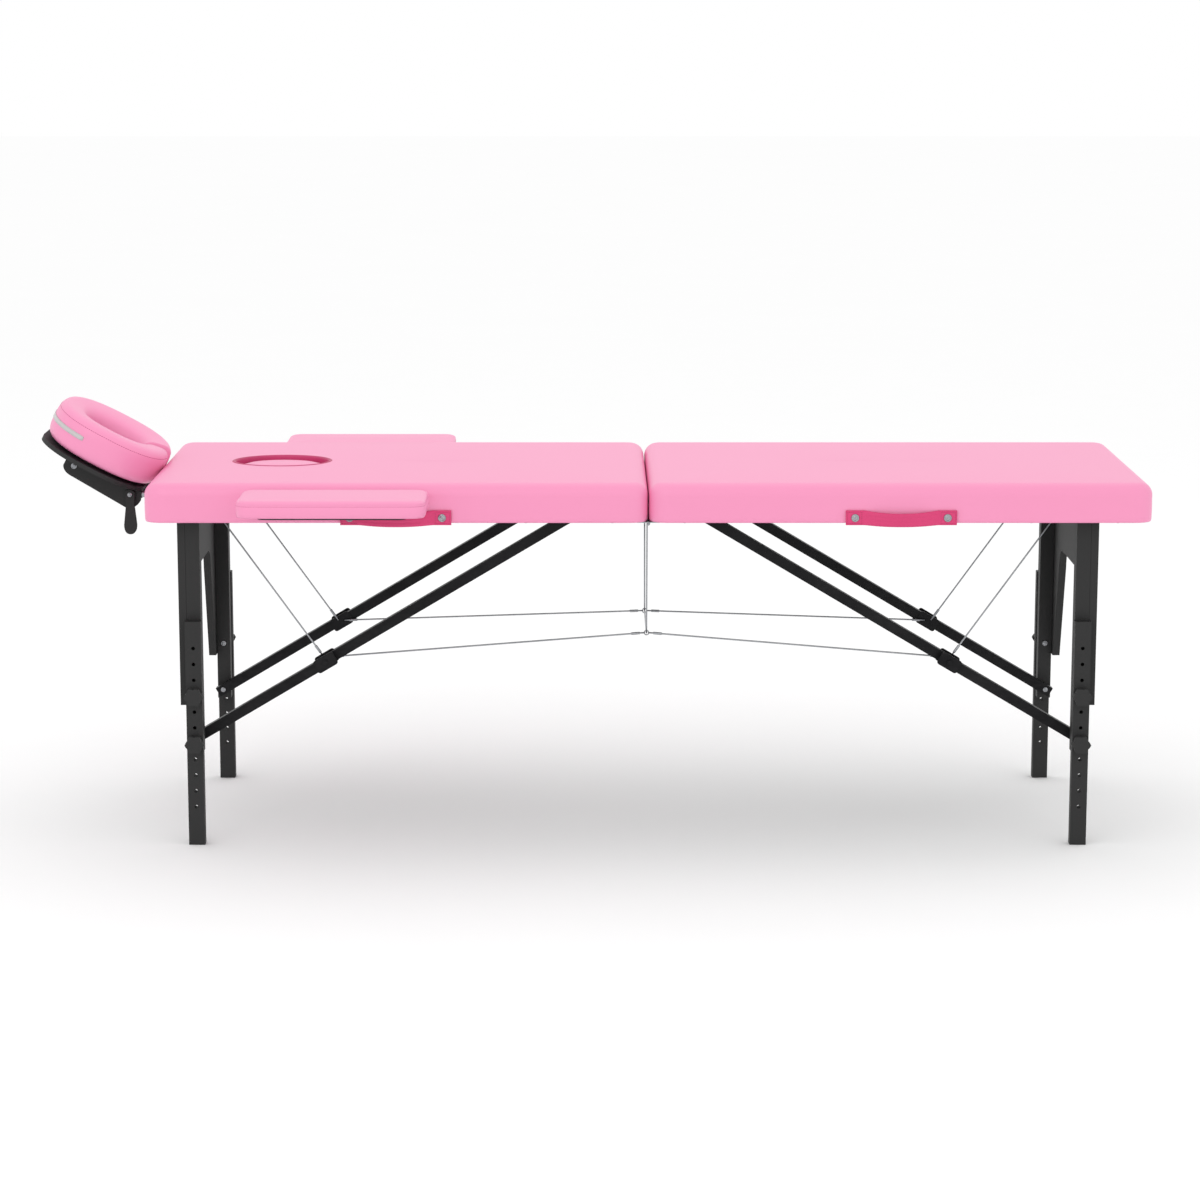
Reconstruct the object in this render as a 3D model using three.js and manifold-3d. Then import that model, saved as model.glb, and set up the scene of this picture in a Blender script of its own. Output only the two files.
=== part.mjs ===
// Portable two-section massage table, standing open on its legs.
// Millimetres, +Z up, +X towards the foot end, origin on the floor under the middle of the whole.
import * as THREE from 'three';
import { mergeVertices } from 'three/addons/utils/BufferGeometryUtils.js';
import Module from 'manifold-3d';

const wasm = await Module();
wasm.setup();

// ---- driving dimensions -------------------------------------------------
const TABLE_LENGTH = 1850;
const TABLE_WIDTH = 600;
const TABLE_HEIGHT = 684;
const SECTION_DEPTH = 74;
const SECTION_GAP = 1.6;
const SECTION_CORNER = 34;
const PAD_EDGE = 24;
const COVER_WALL = 5;
const DECK_THICK = 6;
const RAIL_HEIGHT = 34;
const RAIL_THICK = 12;

const HEAD_LEG_INSET = 85;
const FOOT_LEG_INSET = 122;
const UPRIGHT_WIDE = 26;
const UPRIGHT_DEEP = 30;
const UPRIGHT_END = 172;
const EXTENSION_WIDE = 30;
const EXTENSION_DEEP = 20;
const EXTENSION_TOP = 423;
const ARCH_THICK = 14;
const ARCH_BASE = 262;
const ARCH_CROWN = 490;
const ARCH_CLEARANCE = 6;
const ARCH_LEG_TOP = 110;
const ARCH_LEG_FOOT = 48;
const HOLE_RADIUS = 3.6;
const HOLE_PITCH = 30;
const LOWEST_HOLE = 73;
const HOLE_COUNT = 11;
const BRACE_HOLE = 4;
const CLAMP_HOLE = 7;
const FOLD_AXIS_DROP = 54;

const BRACE_WIDE = 19;
const BRACE_DEEP = 18;
const BRACE_SPAN = 735;
const BRACE_LOWER_LENGTH = 279;
const BRACE_PLATE_LONG = 42;
const BRACE_PLATE_WIDE = 26;
const BRACE_PLATE_THICK = 2.5;

const KNOB_RADIUS = 18;
const KNOB_THICK = 15;
const KNOB_LOBES = 6;
const BOLT_RADIUS = 3;
const PIVOT_RADIUS = 4;

const CABLE_RADIUS = 1.25;
const CABLE_KNOT_HEIGHT = 371;
const CABLE_KNOT_SPREAD = 115;
const CABLE_ANCHOR_SPREAD = 150;

const FACE_HOLE_LONG = 176;
const FACE_HOLE_WIDE = 140;
const FACE_HOLE_INSET = 230;
const PLUG_SUNK = 6;
const PLUG_LEDGE = 8;

const HANDLE_CENTRE = 462;
const HANDLE_SPACING = 169;
const HANDLE_WIDE = 27;
const HANDLE_THICK = 4;
const HANDLE_BOW = 9;
const HANDLE_TAIL = 17;

const ARMREST_LONG = 340;
const ARMREST_WIDE = 158;
const ARMREST_THICK = 34;
const ARMREST_TOP = 677;
const ARMREST_FRONT_CENTRE = -570;
const ARMREST_BACK_CENTRE = -550;
const ARMREST_CORNER = 26;
const ARMREST_EDGE = 9;
const HANGER_THICK = 8;
const HANGER_WIDE = 30;
const HANGER_INSET = 36;
const HANGER_RIM = 9;

const CRADLE_TILT = 28;
const CRADLE_LONG = 230;
const CRADLE_WIDE = 284;
const CRADLE_THICK = 76;
const CRADLE_OPENING_LONG = 116;
const CRADLE_OPENING_WIDE = 112;
const CRADLE_MOUTH = 26;
const CRADLE_EDGE = 22;
const CRADLE_PLATE = 8;
const CRADLE_FAR_X = 228;
const CRADLE_FAR_Z = 738;
const CRADLE_ARM_DEEP = 34;
const CRADLE_ARM_LONG = 148;
const CRADLE_PIVOT_X = 80;
const CRADLE_PIVOT_Z = -20;
const CRADLE_BAR_Z = -14;
const CRADLE_ARM_THICK = 8;
const CRADLE_ARM_SPREAD = 60;
const ROD_RADIUS = 6;
const ROD_REACH = 60;
const LEVER_LONG = 76;
const LEVER_WIDE = 24;

// ---- clearances ---------------------------------------------------------
const GAP = 0.4;
const PIN_GAP = 0.35;
const KNOB_GAP = 0.6;
const BRACKET_ROOM = 4.6;

// ---- sizes worked out from them -----------------------------------------
const HALF_LENGTH = TABLE_LENGTH / 2;
const HALF_WIDTH = TABLE_WIDTH / 2;
const UNDERSIDE = TABLE_HEIGHT - SECTION_DEPTH;
const DECK_BOTTOM = UNDERSIDE + RAIL_HEIGHT;
const DECK_TOP = DECK_BOTTOM + DECK_THICK;
const POCKET_HALF_WIDTH = HALF_WIDTH - COVER_WALL;
const RAIL_OUTER = POCKET_HALF_WIDTH - GAP;
const RAIL_INNER = RAIL_OUTER - RAIL_THICK;
const FOLD_Z = TABLE_HEIGHT - FOLD_AXIS_DROP;
const EXTENSION_OUTER = RAIL_INNER - 2 * GAP;
const EXTENSION_INNER = EXTENSION_OUTER - EXTENSION_DEEP;
const UPRIGHT_OUTER = EXTENSION_INNER - GAP;
const UPRIGHT_INNER = UPRIGHT_OUTER - UPRIGHT_DEEP;
const LOWER_BRACE_OUTER = UPRIGHT_INNER - BRACKET_ROOM;
const LOWER_BRACE_INNER = LOWER_BRACE_OUTER - BRACE_DEEP;
const UPPER_BRACE_OUTER = LOWER_BRACE_INNER - GAP;
const UPPER_BRACE_INNER = UPPER_BRACE_OUTER - BRACE_DEEP;
const CABLE_SPREAD = UPPER_BRACE_INNER - BRACE_PLATE_THICK - CABLE_RADIUS - GAP;
const BRACE_Z = LOWEST_HOLE + BRACE_HOLE * HOLE_PITCH;
const CLAMP_Z = LOWEST_HOLE + CLAMP_HOLE * HOLE_PITCH;
const BRACE_RISE = FOLD_Z - BRACE_Z;
const BRACE_LENGTH = Math.hypot(BRACE_SPAN, BRACE_RISE);
const BRACE_SLOPE = Math.atan2(BRACE_RISE, BRACE_SPAN);
const BRACE_UPPER_LENGTH = BRACE_LENGTH - BRACE_LOWER_LENGTH;

// ---- finishes -----------------------------------------------------------
const finish = (color, roughness, metalness) => () =>
  new THREE.MeshStandardMaterial({ color, roughness, metalness });
const pinkVinyl = finish(0xf0699c, 0.45, 0);
const blackWood = finish(0x17171a, 0.5, 0);
const plainWood = finish(0x2a2624, 0.7, 0);
const blackPlastic = finish(0x1b1b1d, 0.42, 0);
const steel = finish(0xb9bcc0, 0.3, 0.9);

// ---- solids -------------------------------------------------------------
function solid(geometry) {
  const bare = geometry.index ? geometry.toNonIndexed() : geometry;
  bare.deleteAttribute('normal');
  bare.deleteAttribute('uv');
  const joined = mergeVertices(bare, 1e-4);
  const mesh = new wasm.Mesh({
    numProp: 3,
    vertProperties: new Float32Array(joined.attributes.position.array),
    triVerts: new Uint32Array(joined.index.array),
  });
  return new wasm.Manifold(mesh);
}

function box(x0, x1, y0, y1, z0, z1) {
  const geometry = new THREE.BoxGeometry(Math.abs(x1 - x0), Math.abs(y1 - y0), Math.abs(z1 - z0));
  geometry.translate((x0 + x1) / 2, (y0 + y1) / 2, (z0 + z1) / 2);
  return solid(geometry);
}

function rodAlongX(x0, x1, y, z, radius, sides = 14) {
  const geometry = new THREE.CylinderGeometry(radius, radius, Math.abs(x1 - x0), sides);
  geometry.rotateZ(Math.PI / 2);
  geometry.translate((x0 + x1) / 2, y, z);
  return solid(geometry);
}

function rodAlongY(x, y0, y1, z, radius, sides = 14) {
  const geometry = new THREE.CylinderGeometry(radius, radius, Math.abs(y1 - y0), sides);
  geometry.translate(x, (y0 + y1) / 2, z);
  return solid(geometry);
}

function roundedRectangle(width, height, radius) {
  const x = width / 2;
  const y = height / 2;
  const shape = new THREE.Shape();
  shape.moveTo(-x + radius, -y);
  shape.lineTo(x - radius, -y);
  shape.absarc(x - radius, -y + radius, radius, -Math.PI / 2, 0);
  shape.absarc(x - radius, y - radius, radius, 0, Math.PI / 2);
  shape.absarc(-x + radius, y - radius, radius, Math.PI / 2, Math.PI);
  shape.absarc(-x + radius, -y + radius, radius, Math.PI, Math.PI * 1.5);
  return shape;
}

// A shape in X and Y, thickened from z0 to z1, with its rims rounded by edge.
function slab(shape, z0, z1, edge, steps = 4) {
  const geometry = new THREE.ExtrudeGeometry(shape, {
    depth: z1 - z0 - 2 * edge,
    bevelEnabled: edge > 0,
    bevelThickness: edge,
    bevelSize: edge,
    bevelOffset: -edge,
    bevelSegments: steps,
    curveSegments: 5,
  });
  geometry.translate(0, 0, z0 + edge);
  return solid(geometry);
}

// A shape drawn in X and Z, thickened along Y from y0 to y1.
function plate(shape, y0, y1, x = 0, z = 0, turn = 0) {
  const low = Math.min(y0, y1);
  const high = Math.max(y0, y1);
  const geometry = new THREE.ExtrudeGeometry(
    shape,
    { depth: high - low, bevelEnabled: false, curveSegments: 8 },
  );
  geometry.rotateX(Math.PI / 2);
  geometry.translate(0, high, 0);
  geometry.rotateY(-turn);
  geometry.translate(x, 0, z);
  return solid(geometry);
}

function oval(long, wide) {
  const shape = new THREE.Shape();
  const points = 28;
  for (let i = 0; i < points; i += 1) {
    const angle = (i / points) * Math.PI * 2;
    shape[i ? 'lineTo' : 'moveTo']((long / 2) * Math.cos(angle), (wide / 2) * Math.sin(angle));
  }
  return shape;
}

function placed(shape, x, y, z0, z1, edge = 0) {
  const geometry = new THREE.ExtrudeGeometry(shape, {
    depth: z1 - z0 - 2 * edge,
    bevelEnabled: edge > 0,
    bevelThickness: edge,
    bevelSize: edge,
    bevelOffset: -edge,
    bevelSegments: 3,
    curveSegments: 5,
  });
  geometry.translate(x, y, z0 + edge);
  return solid(geometry);
}

function wire(...points) {
  const parts = [];
  for (let i = 1; i < points.length; i += 1) {
    const start = new THREE.Vector3(...points[i - 1]);
    const end = new THREE.Vector3(...points[i]);
    const run = new THREE.Vector3().subVectors(end, start);
    const geometry = new THREE.CylinderGeometry(CABLE_RADIUS, CABLE_RADIUS, run.length(), 8);
    const turn = new THREE.Quaternion().setFromUnitVectors(
      new THREE.Vector3(0, 1, 0),
      run.clone().normalize(),
    );
    geometry.applyQuaternion(turn);
    geometry.translate((start.x + end.x) / 2, (start.y + end.y) / 2, (start.z + end.z) / 2);
    parts.push(solid(geometry));
  }
  return parts.reduce((whole, part) => whole.add(part));
}

const table = new THREE.Group();

function addNode(name, body, material, parent = table) {
  const made = body.getMesh();
  const geometry = new THREE.BufferGeometry();
  geometry.setAttribute('position', new THREE.BufferAttribute(new Float32Array(made.vertProperties), 3));
  geometry.setIndex(new THREE.BufferAttribute(new Uint32Array(made.triVerts), 1));
  geometry.computeVertexNormals();
  const mesh = new THREE.Mesh(geometry, material());
  mesh.name = name;
  parent.add(mesh);
  return mesh;
}

// ---- one padded section: cover and foam, deck board, rail frame ----------
// end is -1 for the head end and 1 for the foot end. legX and braceX are measured from the middle.
function sectionPlan(end) {
  const inset = end < 0 ? HEAD_LEG_INSET : FOOT_LEG_INSET;
  const legX = end * (HALF_LENGTH - inset);
  return {
    end,
    label: end < 0 ? 'head' : 'foot',
    inner: (end * SECTION_GAP) / 2,
    outer: end * HALF_LENGTH,
    legX,
    braceX: legX - end * BRACE_SPAN,
  };
}

function addSection(plan) {
  const { end, label, inner, outer, legX, braceX } = plan;
  const length = Math.abs(outer - inner);
  const middle = (inner + outer) / 2;
  const wall = COVER_WALL * end;
  const holeX = outer - end * FACE_HOLE_INSET;

  const cover = roundedRectangle(length, TABLE_WIDTH, SECTION_CORNER);
  let pad = slab(cover, UNDERSIDE - PAD_EDGE, TABLE_HEIGHT, PAD_EDGE).translate(middle, 0, 0);
  pad = pad.subtract(
    box(inner - end * 9, outer + end * 9, -HALF_WIDTH - 9, HALF_WIDTH + 9, UNDERSIDE - 99, UNDERSIDE),
  );
  const pocketCorner = SECTION_CORNER - COVER_WALL;
  const pocket = roundedRectangle(length - 2 * COVER_WALL, 2 * POCKET_HALF_WIDTH, pocketCorner);
  pad = pad.subtract(placed(pocket, middle, 0, UNDERSIDE - 9, DECK_TOP));

  const boardLong = length - 2 * (COVER_WALL + GAP);
  const board = roundedRectangle(boardLong, 2 * RAIL_OUTER, pocketCorner - GAP);
  let deck = placed(board, middle, 0, DECK_BOTTOM, DECK_TOP - GAP);

  const railTop = DECK_BOTTOM - GAP;
  const ringOuterEnd = outer - wall - end * GAP;
  const ringInnerEnd = inner + wall + end * GAP;
  const beamNear = braceX - end * (BRACE_WIDE / 2 + 4);
  const beamFar = beamNear - end * RAIL_THICK;
  const windowLow = UNDERSIDE - 9;
  const windowTop = railTop + 9;
  const innerWindow = ringInnerEnd + end * RAIL_THICK;
  const outerWindow = ringOuterEnd - end * RAIL_THICK;
  let frame = placed(board, middle, 0, UNDERSIDE, railTop);
  frame = frame.subtract(box(innerWindow, beamFar, -RAIL_INNER, RAIL_INNER, windowLow, windowTop));
  frame = frame.subtract(box(beamNear, outerWindow, -RAIL_INNER, RAIL_INNER, windowLow, windowTop));
  for (const side of [-1, 1]) {
    const earOuter = side * (UPPER_BRACE_INNER - GAP);
    const earInner = earOuter - side * 7;
    frame = frame.add(box(beamNear - end, braceX + end * 8, earInner, earOuter, UNDERSIDE + 4, railTop));
    frame = frame.subtract(
      rodAlongY(braceX, earInner - side * 3, earOuter + side * 3, FOLD_Z, PIVOT_RADIUS + PIN_GAP),
    );
    frame = frame.subtract(
      rodAlongY(legX, side * (RAIL_INNER - 3), side * (RAIL_OUTER + 3), FOLD_Z, PIVOT_RADIUS + PIN_GAP),
    );
  }

  if (end < 0) {
    pad = pad.subtract(
      placed(oval(FACE_HOLE_LONG, FACE_HOLE_WIDE), holeX, 0, DECK_TOP - 3, TABLE_HEIGHT + 3),
    );
    const ledgeLong = FACE_HOLE_LONG - 2 * PLUG_LEDGE;
    const ledgeWide = FACE_HOLE_WIDE - 2 * PLUG_LEDGE;
    deck = deck.subtract(placed(oval(ledgeLong, ledgeWide), holeX, 0, DECK_BOTTOM - 3, DECK_TOP + 3));
    for (const side of [-1, 1]) {
      const bore = rodAlongX(
        outer - 3,
        outer + ROD_REACH,
        side * CRADLE_ARM_SPREAD,
        FOLD_Z - 2,
        ROD_RADIUS + PIN_GAP,
      );
      pad = pad.subtract(bore);
      frame = frame.subtract(bore);
    }
    const plug = oval(FACE_HOLE_LONG - 2, FACE_HOLE_WIDE - 2);
    addNode(
      'face_hole_plug',
      placed(plug, holeX, 0, DECK_TOP + GAP, TABLE_HEIGHT - PLUG_SUNK, 5),
      pinkVinyl,
    );
  }
  addNode(`${label}_pad`, pad, pinkVinyl);
  addNode(`${label}_deck`, deck, plainWood);
  addNode(`${label}_frame`, frame, blackWood);
}

// ---- the long hinge under the joint between the sections -----------------
function addMiddleHinge() {
  const leafWide = 16;
  const leafThick = 1.6;
  const knuckleRadius = 3.4;
  const pinRadius = 1.7;
  const knuckles = 6;
  const run = 2 * RAIL_INNER;
  const pitch = run / knuckles;
  const top = UNDERSIDE - GAP;
  const axisZ = top - knuckleRadius;
  for (const end of [-1, 1]) {
    let leaf = box(end * 1.2, end * (leafWide + COVER_WALL), -RAIL_INNER, RAIL_INNER, top - leafThick, top);
    leaf = leaf.subtract(rodAlongY(0, -RAIL_INNER - 1, RAIL_INNER + 1, axisZ, knuckleRadius + PIN_GAP));
    for (let i = end < 0 ? 0 : 1; i < knuckles; i += 2) {
      const low = -RAIL_INNER + i * pitch + GAP;
      const high = low + pitch - 2 * GAP;
      leaf = leaf.add(rodAlongY(0, low, high, axisZ, knuckleRadius, 12));
      leaf = leaf.add(box(0, end * 3.4, low, high, top - leafThick, top));
    }
    leaf = leaf.subtract(rodAlongY(0, -RAIL_INNER - 1, RAIL_INNER + 1, axisZ, pinRadius + PIN_GAP, 8));
    addNode(end < 0 ? 'middle_hinge_head_leaf' : 'middle_hinge_foot_leaf', leaf, steel);
  }
  addNode('middle_hinge_pin', rodAlongY(0, -RAIL_INNER, RAIL_INNER, axisZ, pinRadius, 8), steel);
}

// ---- a folding leg frame: arch board, uprights, height extensions, knobs ---
function archOutline() {
  const half = UPRIGHT_OUTER;
  const top = FOLD_Z - ARCH_CLEARANCE;
  const crownHalf = half - ARCH_LEG_TOP;
  const footHalf = half - ARCH_LEG_FOOT;
  const round = 40;
  const shape = new THREE.Shape();
  shape.moveTo(-half, top);
  shape.lineTo(-half, ARCH_BASE);
  shape.lineTo(-footHalf, ARCH_BASE);
  shape.lineTo(-crownHalf, ARCH_CROWN - round);
  shape.quadraticCurveTo(-crownHalf + 2, ARCH_CROWN, -crownHalf + round, ARCH_CROWN);
  shape.lineTo(crownHalf - round, ARCH_CROWN);
  shape.quadraticCurveTo(crownHalf - 2, ARCH_CROWN, crownHalf, ARCH_CROWN - round);
  shape.lineTo(footHalf, ARCH_BASE);
  shape.lineTo(half, ARCH_BASE);
  shape.lineTo(half, top);
  shape.closePath();
  return shape;
}

function knobWithBolt(x, y, z, side, boltEnd) {
  const shape = new THREE.Shape();
  const steps = KNOB_LOBES * 4;
  for (let i = 0; i < steps; i += 1) {
    const angle = (i / steps) * Math.PI * 2;
    const radius = KNOB_RADIUS - 1.6 + 1.6 * Math.cos(angle * KNOB_LOBES);
    shape[i ? 'lineTo' : 'moveTo'](radius * Math.cos(angle), radius * Math.sin(angle));
  }
  const hub = plate(shape, y + side * KNOB_GAP, y + side * (KNOB_GAP + KNOB_THICK), x, z);
  const bolt = rodAlongY(x, boltEnd, y + side * (KNOB_GAP + 2), z, BOLT_RADIUS, 12);
  return hub.add(bolt);
}

function addLegFrame(plan) {
  const { end, label, legX } = plan;
  const archInner = legX + end * (UPRIGHT_WIDE / 2 + GAP);
  const archGeometry = new THREE.ExtrudeGeometry(archOutline(), { depth: ARCH_THICK, bevelEnabled: false });
  archGeometry.rotateX(Math.PI / 2);
  archGeometry.rotateZ(Math.PI / 2);
  archGeometry.translate(end > 0 ? archInner : archInner - ARCH_THICK, 0, 0);
  addNode(`${label}_leg_arch`, solid(archGeometry), blackWood);

  for (const side of [-1, 1]) {
    const where = side < 0 ? 'front' : 'back';
    let upright = box(
      legX - UPRIGHT_WIDE / 2,
      legX + UPRIGHT_WIDE / 2,
      side * UPRIGHT_INNER,
      side * UPRIGHT_OUTER,
      UPRIGHT_END,
      FOLD_Z,
    );
    upright = upright.add(
      rodAlongY(legX, side * UPRIGHT_INNER, side * UPRIGHT_OUTER, FOLD_Z, UPRIGHT_WIDE / 2),
    );
    upright = upright.add(
      rodAlongY(legX, side * (UPRIGHT_OUTER - 2), side * (RAIL_OUTER - 1), FOLD_Z, PIVOT_RADIUS),
    );
    let extension = box(
      legX - EXTENSION_WIDE / 2,
      legX + EXTENSION_WIDE / 2,
      side * EXTENSION_INNER,
      side * EXTENSION_OUTER,
      0,
      EXTENSION_TOP,
    );
    for (let i = 0; i < HOLE_COUNT; i += 1) {
      const z = LOWEST_HOLE + i * HOLE_PITCH;
      const drill = rodAlongY(
        legX,
        side * (EXTENSION_INNER - 3),
        side * (EXTENSION_OUTER + 3),
        z,
        HOLE_RADIUS,
        8,
      );
      extension = extension.subtract(drill);
    }
    for (const z of [BRACE_Z, CLAMP_Z]) {
      upright = upright.subtract(
        rodAlongY(legX, side * (UPRIGHT_INNER - 3), side * (UPRIGHT_OUTER + 3), z, HOLE_RADIUS, 8),
      );
    }
    addNode(`${label}_${where}_upright`, upright, blackWood);
    addNode(`${label}_${where}_leg_extension`, extension, blackWood);
    const clampEnd = side * (UPRIGHT_INNER - 1);
    const braceEnd = side * (LOWER_BRACE_INNER + 1);
    addNode(
      `${label}_${where}_clamp_knob`,
      knobWithBolt(legX, side * EXTENSION_OUTER, CLAMP_Z, side, clampEnd),
      blackPlastic,
    );
    addNode(
      `${label}_${where}_brace_knob`,
      knobWithBolt(legX, side * EXTENSION_OUTER, BRACE_Z, side, braceEnd),
      blackPlastic,
    );
  }
}

// ---- two-part folding braces ----------------------------------------------
function barOutline(length, tail, head) {
  const half = BRACE_WIDE / 2;
  const shape = new THREE.Shape();
  shape.moveTo(-tail, -half);
  shape.lineTo(length + head, -half);
  shape.lineTo(length + head, half);
  shape.lineTo(-tail, half);
  shape.closePath();
  return shape;
}

function addBraces(plan) {
  const { end, label, legX, braceX } = plan;
  const turn = end < 0 ? BRACE_SLOPE : Math.PI - BRACE_SLOPE;
  const jointX = legX - end * BRACE_LOWER_LENGTH * Math.cos(BRACE_SLOPE);
  const jointZ = BRACE_Z + BRACE_LOWER_LENGTH * Math.sin(BRACE_SLOPE);
  for (const side of [-1, 1]) {
    const where = side < 0 ? 'front' : 'back';
    let lower = plate(
      barOutline(BRACE_LOWER_LENGTH, 12, 12),
      side * LOWER_BRACE_INNER,
      side * LOWER_BRACE_OUTER,
      legX,
      BRACE_Z,
      turn,
    );
    lower = lower.subtract(
      rodAlongY(
        legX,
        side * (LOWER_BRACE_INNER - 3),
        side * (LOWER_BRACE_OUTER + 3),
        BRACE_Z,
        HOLE_RADIUS,
        8,
      ),
    );
    const bracket = roundedRectangle(BRACE_PLATE_LONG, BRACE_PLATE_WIDE, 5);
    const outerFace = side * (LOWER_BRACE_OUTER - 1);
    lower = lower.add(
      plate(bracket, outerFace, side * (LOWER_BRACE_OUTER + BRACE_PLATE_THICK - 1), jointX, jointZ, turn),
    );
    lower = lower.add(rodAlongY(jointX, outerFace, side * (LOWER_BRACE_OUTER + 4), jointZ, 5, 16));
    addNode(`${label}_${where}_lower_brace`, lower, blackWood);

    let upper = plate(
      barOutline(BRACE_UPPER_LENGTH, 12, 9),
      side * UPPER_BRACE_INNER,
      side * UPPER_BRACE_OUTER,
      jointX,
      jointZ,
      turn,
    );
    const innerFace = side * (UPPER_BRACE_INNER + 1);
    upper = upper.add(
      plate(bracket, innerFace, side * (UPPER_BRACE_INNER - BRACE_PLATE_THICK + 1), jointX, jointZ, turn),
    );
    upper = upper.add(
      rodAlongY(
        braceX,
        side * (UPPER_BRACE_INNER + 2),
        side * (UPPER_BRACE_INNER - GAP - 6),
        FOLD_Z,
        PIVOT_RADIUS,
      ),
    );
    addNode(`${label}_${where}_upper_brace`, upper, blackWood);

    const eyeZ = jointZ + 3;
    const y = side * CABLE_SPREAD;
    const footing = [jointX + end * 6, y, eyeZ];
    addNode(
      `${label}_${where}_end_cable`,
      wire(footing, [legX - end * 16, y, DECK_BOTTOM - 2 * GAP]),
      steel,
    );
    const knot = [end * 4, side * CABLE_KNOT_SPREAD, CABLE_KNOT_HEIGHT];
    addNode(`${label}_${where}_long_cable`, wire([jointX - end * 6, y, eyeZ], knot), steel);
  }
}

function addCentreCable() {
  const top = UNDERSIDE - 9;
  addNode(
    'centre_cable',
    wire(
      [0, -CABLE_ANCHOR_SPREAD, top],
      [0, -CABLE_KNOT_SPREAD, CABLE_KNOT_HEIGHT],
      [0, CABLE_KNOT_SPREAD, CABLE_KNOT_HEIGHT],
      [0, CABLE_ANCHOR_SPREAD, top],
    ),
    steel,
  );
}

// ---- carrying handles on the front side ------------------------------------
function addHandle(end) {
  const centre = end * HANDLE_CENTRE;
  const z = UNDERSIDE + HANDLE_WIDE / 2 - 3;
  const reach = HANDLE_SPACING / 2 + HANDLE_TAIL;
  const face = -HALF_WIDTH - GAP;
  const shape = new THREE.Shape();
  shape.moveTo(-reach, face - HANDLE_THICK);
  shape.lineTo(-HANDLE_SPACING / 2 + 14, face - HANDLE_THICK);
  shape.quadraticCurveTo(
    0,
    face - HANDLE_THICK - 2 * HANDLE_BOW,
    HANDLE_SPACING / 2 - 14,
    face - HANDLE_THICK,
  );
  shape.lineTo(reach, face - HANDLE_THICK);
  shape.lineTo(reach, face);
  shape.lineTo(HANDLE_SPACING / 2 - 10, face);
  shape.quadraticCurveTo(0, face - 2 * HANDLE_BOW, -HANDLE_SPACING / 2 + 10, face);
  shape.lineTo(-reach, face);
  shape.closePath();
  let strap = placed(shape, centre, 0, z - HANDLE_WIDE / 2, z + HANDLE_WIDE / 2);
  for (const way of [-1, 1]) {
    const x = centre + (way * HANDLE_SPACING) / 2;
    strap = strap.add(rodAlongY(x, face - HANDLE_THICK + 1, face - HANDLE_THICK - 2.5, z, 7));
  }
  addNode(end < 0 ? 'head_carry_handle' : 'foot_carry_handle', strap, pinkVinyl);
}

// ---- armrests hung on the sides of the head section ------------------------
function addArmrest(side) {
  const where = side < 0 ? 'front' : 'back';
  const centreX = side < 0 ? ARMREST_FRONT_CENTRE : ARMREST_BACK_CENTRE;
  const inner = HALF_WIDTH + 4 * GAP + HANGER_THICK;
  const centreY = side * (inner + ARMREST_WIDE / 2);
  const bottom = ARMREST_TOP - ARMREST_THICK;
  const pad = placed(
    roundedRectangle(ARMREST_LONG, ARMREST_WIDE, ARMREST_CORNER),
    centreX,
    centreY,
    bottom,
    ARMREST_TOP,
    ARMREST_EDGE,
  );
  addNode(`${where}_armrest_pad`, pad, pinkVinyl);
  const boardTop = bottom - GAP;
  const innerFace = side * (HALF_WIDTH + GAP);
  const outerFace = side * (HALF_WIDTH + GAP + HANGER_THICK);
  let hanger = placed(
    roundedRectangle(ARMREST_LONG - 2 * HANGER_INSET, ARMREST_WIDE - 2 * HANGER_INSET, 16),
    centreX,
    centreY,
    boardTop - 6,
    boardTop,
  );
  const windowInset = HANGER_INSET + HANGER_RIM;
  const window = roundedRectangle(ARMREST_LONG - 2 * windowInset, ARMREST_WIDE - 2 * windowInset, 8);
  hanger = hanger.subtract(placed(window, centreX, centreY, boardTop - 9, boardTop + 3));
  for (const way of [-1, 1]) {
    const x = centreX + way * 120;
    const near = x - HANGER_WIDE / 2;
    const far = x + HANGER_WIDE / 2;
    const reach = side * (inner + HANGER_INSET + HANGER_RIM - 2);
    hanger = hanger.add(box(near, far, innerFace, reach, boardTop - 6, boardTop));
    hanger = hanger.add(box(near, far, innerFace, outerFace, boardTop - 6, boardTop + 20));
  }
  addNode(`${where}_armrest_hanger`, hanger, blackPlastic);
}

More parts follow.
